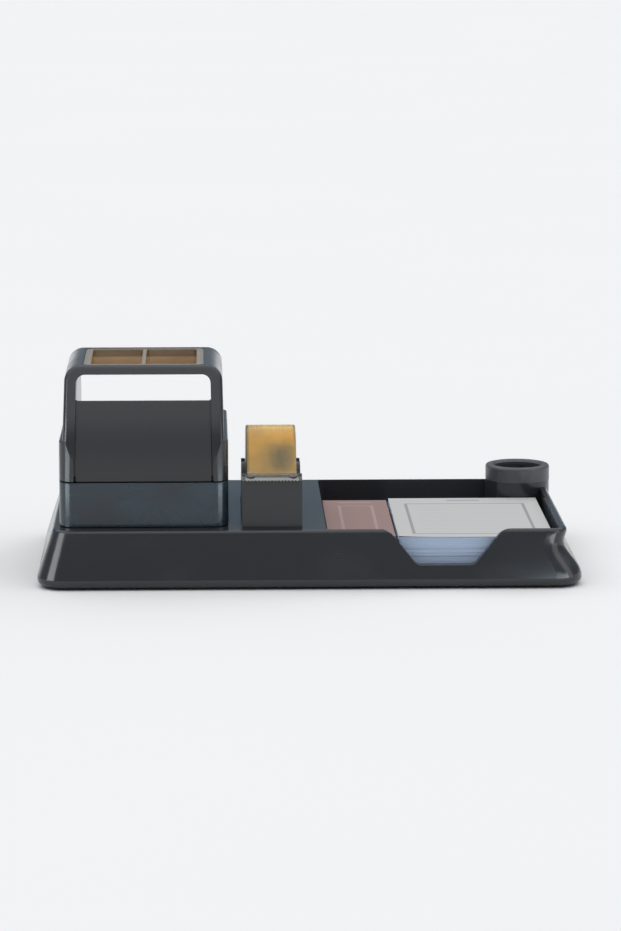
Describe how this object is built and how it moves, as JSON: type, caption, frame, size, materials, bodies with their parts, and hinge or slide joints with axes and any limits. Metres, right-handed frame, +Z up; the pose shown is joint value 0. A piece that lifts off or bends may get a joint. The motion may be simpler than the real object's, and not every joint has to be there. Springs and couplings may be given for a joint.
{
  "type": "tape dispenser organizer with drawer",
  "caption": "Long black desk organizer: pen tower with a see-through handle over a pull-out drawer, tape dispenser, open memo tray and a round clip cup.",
  "frame": {"origin": "middle of the footprint, on the desk", "axes": "+X to the right as seen from the front, +Y to the back, +Z up"},
  "size_m": [0.258, 0.15, 0.103],
  "materials": {
    "black_gloss": "glossy black polystyrene",
    "panel_black": "glossy black, a little lighter",
    "black_satin": "satin black",
    "smoke_blue": "smoky blue translucent",
    "amber": "amber translucent",
    "tape": "clear yellowish tape",
    "blade_steel": "brushed",
    "zinc": "zinc plated",
    "ballast": "mill finish plate",
    "magnet": "sintered ferrite",
    "rubber": "matt rubber",
    "hub_grey": "dark moulded plastic",
    "core_card": "wound card",
    "paper_white": "white paper, ruled",
    "paper_pink": "pink paper"
  },
  "bodies": {
    "base": {"base_shell": "black_gloss", "bottom_plate": "black_satin", "plate_screws": "zinc", "rubber_feet": "rubber", "ballast_plate": "ballast", "ballast_screws": "zinc", "tower_shell": "black_gloss", "tower_panel": "panel_black", "pen_floor": "black_satin", "pen_insert": "amber", "tower_screws": "zinc", "dispenser_body": "black_gloss", "dispenser_screws": "zinc", "cutter_blade": "blade_steel", "blade_rivets": "zinc", "tape_lead": "tape", "clip_cup": "black_satin", "cup_collar": "black_gloss", "ring_magnet": "magnet", "memo_sheets": "paper_white", "note_pad": "paper_pink"},
    "drawer": {"drawer": "smoke_blue"},
    "tape_spool": {"hub_left": "hub_grey", "hub_right": "hub_grey", "tape_core": "core_card", "tape_roll": "tape"}
  },
  "joints": [
    {"name": "drawer_slide", "type": "slide", "parent": "base", "child": "drawer", "axis": [0, -1, 0], "range_m": [0, 0.07]},
    {"name": "tape_spin", "type": "hinge", "parent": "base", "child": "tape_spool", "pos_m": [-0.0178, -0.013, 0.0395], "axis": [1, 0, 0], "continuous": true}
  ]
}
